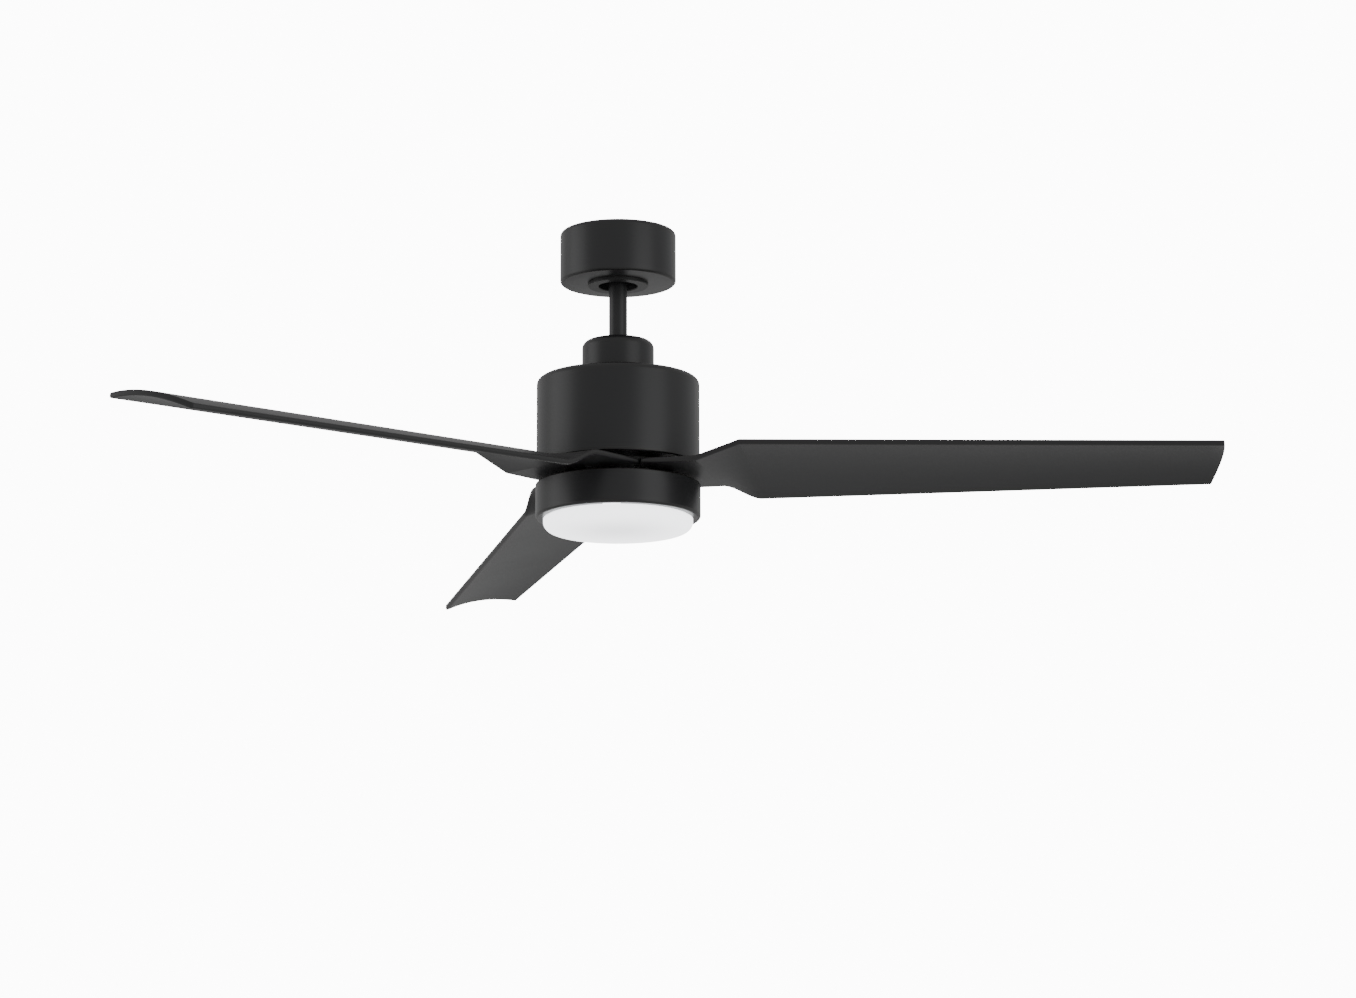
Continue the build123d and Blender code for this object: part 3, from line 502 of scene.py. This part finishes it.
@dataclass
class CeilingMount(SubAssembly):
    """Bracket, terminal block, canopy and the ring that hides the canopy's screws."""

    nodes: tuple[str, ...] = (
        "hanger_bracket",
        "terminal_block",
        "terminal_screws",
        "earth_screw",
        "canopy",
        "canopy_screws",
        "canopy_trim_ring",
    )
    sheet: float = 0.0015
    mouth: float = 0.060
    hole: float = 0.0248
    rim_rounding: float = 0.005
    foot_rounding: float = 0.0035

    def build(self) -> None:
        """Dress the mount and turn the canopy."""
        self.dress()
        self.turn_canopy()

    def turn_canopy(self) -> None:
        """Turn the spun canopy with its rolled rim."""
        top, foot, reach = top_of("canopy"), foot_of("canopy"), reach_of("canopy")
        inside = reach - self.sheet
        corners = [
            Corner(self.mouth, top),
            Corner(reach, top, self.rim_rounding),
            Corner(reach, foot, self.foot_rounding),
            Corner(self.hole, foot),
            Corner(self.hole, foot + self.sheet),
            Corner(inside, foot + self.sheet, self.foot_rounding - self.sheet),
            Corner(inside, top - self.sheet, self.rim_rounding - self.sheet),
            Corner(self.mouth, top - self.sheet),
        ]
        self.stand_in("canopy", corners, "ceiling_mount", "satin_black_paint")


@dataclass
class DownrodDrop(SubAssembly):
    """Ball, downrod, the coupling on the motor and the cover over it."""

    nodes: tuple[str, ...] = (
        "hanger_ball",
        "ball_pin",
        "ball_set_screw",
        "downrod",
        "coupling",
        "clevis_pin",
        "cotter_clip",
        "coupling_set_screws",
        "coupling_lock_nuts",
        "coupling_cover",
        "cover_grommet",
    )
    sheet: float = 0.002
    rounding: float = 0.0095
    grommet_wall: float = 0.0019

    def build(self) -> None:
        """Dress the drop and turn the coupling cover."""
        self.dress()
        self.turn_cover()

    def turn_cover(self) -> None:
        """Turn the round-shouldered cover over the coupling."""
        top, foot = top_of("coupling_cover"), foot_of("coupling_cover")
        reach, hole = reach_of("coupling_cover"), reach_of("downrod") + self.grommet_wall
        corners = [
            Corner(reach, foot),
            Corner(reach, top, self.rounding),
            Corner(hole, top),
            Corner(hole, top - self.sheet),
            Corner(reach - self.sheet, top - self.sheet, self.rounding - self.sheet),
            Corner(reach - self.sheet, foot),
        ]
        self.stand_in("coupling_cover", corners, "hanging_frame", "satin_black_paint")


@dataclass
class Motor(SubAssembly):
    """Housing, shaft, bearings, stator and driver board, and the rotor's shells and magnets."""

    nodes: tuple[str, ...] = (
        "motor_housing",
        "flange_screws",
        "hanger_plate",
        "main_shaft",
        "upper_spacer",
        "lower_spacer",
        "upper_bearing_inner_race",
        "upper_bearing_outer_race",
        "upper_bearing_balls",
        "lower_bearing_inner_race",
        "lower_bearing_outer_race",
        "lower_bearing_balls",
        "stator_hub",
        "stator_core",
        "stator_coils",
        "driver_board",
        "board_standoffs",
        "board_components",
        "rotor_top_shell",
        "rotor_bottom_shell",
        "rotor_screws",
        "rotor_back_iron_ring",
        "magnets",
    )
    sheet: float = 0.002
    lip: float = 0.004
    rounding: float = 0.0075
    foot_rounding: float = 0.0008
    shaft_play: float = 0.0003

    def build(self) -> None:
        """Dress the motor and turn its housing."""
        self.dress()
        self.turn_housing()

    def turn_housing(self) -> None:
        """Turn the drum of the housing with the small lip round its open foot."""
        top, foot, reach = top_of("motor_housing"), foot_of("motor_housing"), reach_of("motor_housing")
        hole = reach_of("main_shaft") + self.shaft_play
        corners = [
            Corner(reach - self.lip, foot),
            Corner(reach, foot, self.foot_rounding),
            Corner(reach, top, self.rounding),
            Corner(hole, top),
            Corner(hole, top - self.sheet),
            Corner(reach - self.sheet, top - self.sheet, self.rounding - self.sheet),
            Corner(reach - self.sheet, foot + self.sheet),
            Corner(reach - self.lip, foot + self.sheet),
        ]
        self.stand_in("motor_housing", corners, "hanging_frame", "satin_black_paint")


@dataclass
class BladeSet(SubAssembly):
    """Blade hub and three moulded blades with their screws."""

    nodes: tuple[str, ...] = (
        "blade_hub",
        "hub_screws",
        "blade_1",
        "blade_2",
        "blade_3",
        "blade_washers",
        "blade_screws",
    )


@dataclass
class LightKit(SubAssembly):
    """Light housing, LED board and driver, and the opal diffuser."""

    nodes: tuple[str, ...] = (
        "light_plate",
        "shaft_nut",
        "light_housing",
        "light_screws",
        "led_driver",
        "led_standoffs",
        "led_board",
        "led_chips",
        "led_board_screws",
        "diffuser",
    )


# ---------------------------------------------------------------- studio
@dataclass(frozen=True)
class Panel:
    """Tall soft light panel standing round the fan."""

    name: str
    bearing: float
    distance: float
    height: float
    width: float
    tall: float
    power: float
    aim_height: float = -0.25

    def build(self) -> None:
        """Stand the panel at its bearing, aimed at the motor."""
        light = bpy.data.lights.new(self.name, "AREA")
        light.shape = "RECTANGLE"
        light.size = self.width
        light.size_y = self.tall
        light.energy = self.power
        turn = math.radians(self.bearing)
        holder = bpy.data.objects.new(self.name, light)
        holder.location = (self.distance * math.sin(turn), -self.distance * math.cos(turn), self.height)
        aim = Vector((0.0, 0.0, self.aim_height)) - holder.location
        holder.rotation_euler = aim.to_track_quat("-Z", "Y").to_euler()
        holder.visible_camera = False
        bpy.context.collection.objects.link(holder)


@dataclass
class Studio:
    """Pale floor, pale room, soft panels and the camera."""

    panels: tuple[Panel, ...] = (
        Panel("left_panel", -88.0, 3.0, -0.3, 2.2, 3.2, 25.0),
        Panel("right_panel", 50.0, 3.0, -0.3, 2.2, 3.2, 23.0),
    )
    room_light: float = 0.64
    wall_brightness: float = 12.0
    floor_drop: float = 3.0
    floor_size: float = 30.0
    floor_colour: tuple[float, float, float] = (0.85, 0.85, 0.85)
    floor_roughness: float = 0.8
    camera_place: tuple[float, float, float] = (0.0, -5.311, -1.434)
    camera_rise: float = 11.87
    lens: float = 124.8
    sensor_width: float = 36.0
    side_shift: float = 0.0442
    far_end: float = 60.0

    def build(self) -> None:
        """Build the whole studio."""
        self.build_floor()
        self.build_lights()
        self.build_camera()

    def build_floor(self) -> None:
        """Lay a plain pale floor well below the fan."""
        bpy.ops.mesh.primitive_plane_add(size=self.floor_size, location=(0.0, 0.0, -self.floor_drop))
        floor = bpy.context.object
        floor.name = "floor"
        material, _, shader = blank_material("PaleFloor")
        shader.inputs["Base Color"].default_value = (*self.floor_colour, 1.0)
        shader.inputs["Roughness"].default_value = self.floor_roughness
        floor.data.materials.append(material)

    def build_lights(self) -> None:
        """Light the fan with a pale room and two tall soft panels."""
        world = bpy.data.worlds.new("PaleRoom")
        world.use_nodes = True
        tree = world.node_tree
        room = tree.nodes["Background"]
        room.inputs["Strength"].default_value = self.room_light
        wall = tree.nodes.new("ShaderNodeBackground")
        wall.inputs["Strength"].default_value = self.wall_brightness
        for background in (room, wall):
            background.inputs["Color"].default_value = (1.0, 1.0, 1.0, 1.0)
        seen = tree.nodes.new("ShaderNodeLightPath")
        mix = tree.nodes.new("ShaderNodeMixShader")
        tree.links.new(seen.outputs["Is Camera Ray"], mix.inputs["Fac"])
        tree.links.new(room.outputs["Background"], mix.inputs[1])
        tree.links.new(wall.outputs["Background"], mix.inputs[2])
        tree.links.new(mix.outputs["Shader"], tree.nodes["World Output"].inputs["Surface"])
        bpy.context.scene.world = world
        for panel in self.panels:
            panel.build()

    def build_camera(self) -> None:
        """Place the camera low in front of the fan, looking up at it."""
        camera = bpy.data.cameras.new("camera")
        camera.lens = self.lens
        camera.sensor_width = self.sensor_width
        camera.shift_x = self.side_shift
        camera.clip_end = self.far_end
        holder = bpy.data.objects.new("camera", camera)
        holder.location = self.camera_place
        holder.rotation_euler = (math.radians(90.0 + self.camera_rise), 0.0, 0.0)
        bpy.context.collection.objects.link(holder)
        bpy.context.scene.camera = holder


def main() -> None:
    """Build every sub-assembly in order, then the studio."""
    logging.basicConfig(level=logging.INFO, format="%(name)s: %(message)s")
    materials = {slot: finish.material() for slot, finish in FINISHES.items()}
    for group in (CeilingMount, DownrodDrop, Motor, BladeSet, LightKit):
        group(materials).build()
    Studio().build()


if __name__ == "__main__":
    main()
